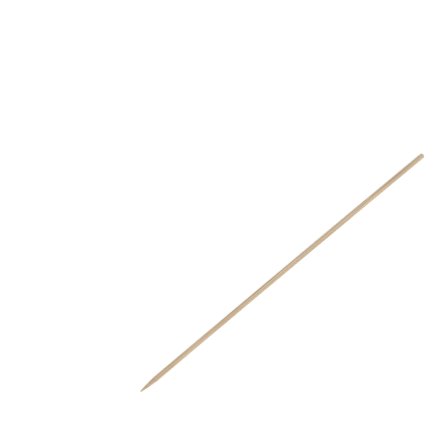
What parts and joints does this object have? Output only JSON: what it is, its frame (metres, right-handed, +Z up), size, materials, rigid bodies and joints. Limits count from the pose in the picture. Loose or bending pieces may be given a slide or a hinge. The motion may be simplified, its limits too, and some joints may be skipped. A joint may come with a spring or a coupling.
{
  "type": "skewer",
  "caption": "Long thin round bamboo skewer with fine ridges along its fibres, a squarely sawn butt and a tapered ground point.",
  "frame": {"origin": "centre of the sawn face at the butt", "axes": "+X along the stick from the butt to the point, +Z up with the stick lying level, +Y across it, away from the side that its slight bow rises to"},
  "size_m": [0.25, 0.0034, 0.003],
  "materials": {
    "bamboo": "dry satin, undyed and unvarnished"
  },
  "bodies": {
    "root": {"skewer_stick": "bamboo"}
  },
  "joints": []
}
